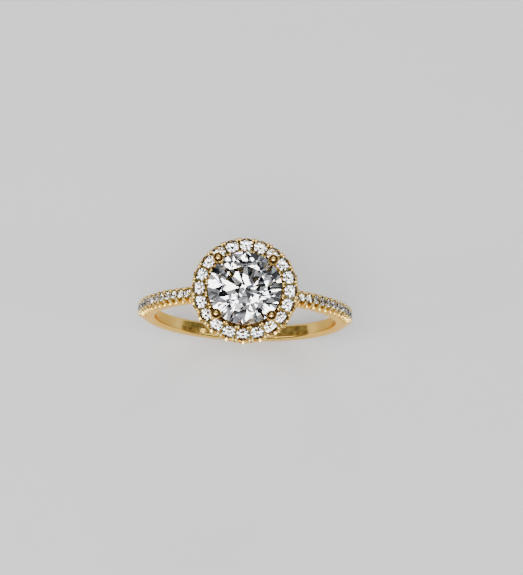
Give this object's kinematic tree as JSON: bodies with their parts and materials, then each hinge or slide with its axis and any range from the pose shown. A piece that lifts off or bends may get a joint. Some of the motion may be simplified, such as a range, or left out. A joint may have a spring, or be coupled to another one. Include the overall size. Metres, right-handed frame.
{
  "type": "engagement ring",
  "caption": "Yellow metal halo ring: a round brilliant in four ball-tipped claws, ringed by small stones, on a narrow band with stone-set shoulders.",
  "frame": {"origin": "centre of the finger hole, half way across the band", "axes": "+Y along the finger, +Z from the finger up through the centre stone, +X across the band; the band lies in the XZ plane"},
  "size_m": [0.02, 0.0094, 0.0224],
  "materials": {
    "band_gold": "polished yellow gold plate, slightly paler on the pave shoulders",
    "halo_gold": "polished yellow gold plate",
    "basket_gold": "polished yellow gold plate",
    "claw_gold": "polished yellow gold plate",
    "centre_stone": "clear colourless cubic zirconia, polished facets",
    "melee_stones": "clear colourless cubic zirconia, polished facets"
  },
  "bodies": {
    "root": {"shank": "band_gold", "halo_plate": "halo_gold", "gallery_base": "basket_gold", "gallery_rail": "basket_gold", "claw_ne": "claw_gold", "claw_nw": "claw_gold", "claw_sw": "claw_gold", "claw_se": "claw_gold", "centre_stone": "centre_stone", "halo_stone_01": "melee_stones", "halo_stone_02": "melee_stones", "halo_stone_03": "melee_stones", "halo_stone_04": "melee_stones", "halo_stone_05": "melee_stones", "halo_stone_06": "melee_stones", "halo_stone_07": "melee_stones", "halo_stone_08": "melee_stones", "halo_stone_09": "melee_stones", "halo_stone_10": "melee_stones", "halo_stone_11": "melee_stones", "halo_stone_12": "melee_stones", "halo_stone_13": "melee_stones", "halo_stone_14": "melee_stones", "halo_stone_15": "melee_stones", "halo_stone_16": "melee_stones", "halo_stone_17": "melee_stones", "halo_stone_18": "melee_stones", "halo_stone_19": "melee_stones", "halo_stone_20": "melee_stones", "band_stone_right_01": "melee_stones", "band_stone_right_02": "melee_stones", "band_stone_right_03": "melee_stones", "band_stone_right_04": "melee_stones", "band_stone_right_05": "melee_stones", "band_stone_right_06": "melee_stones", "band_stone_right_07": "melee_stones", "band_stone_right_08": "melee_stones", "band_stone_right_09": "melee_stones", "band_stone_right_10": "melee_stones", "band_stone_right_11": "melee_stones", "band_stone_right_12": "melee_stones", "band_stone_right_13": "melee_stones", "band_stone_left_01": "melee_stones", "band_stone_left_02": "melee_stones", "band_stone_left_03": "melee_stones", "band_stone_left_04": "melee_stones", "band_stone_left_05": "melee_stones", "band_stone_left_06": "melee_stones", "band_stone_left_07": "melee_stones", "band_stone_left_08": "melee_stones", "band_stone_left_09": "melee_stones", "band_stone_left_10": "melee_stones", "band_stone_left_11": "melee_stones", "band_stone_left_12": "melee_stones", "band_stone_left_13": "melee_stones"}
  },
  "joints": []
}
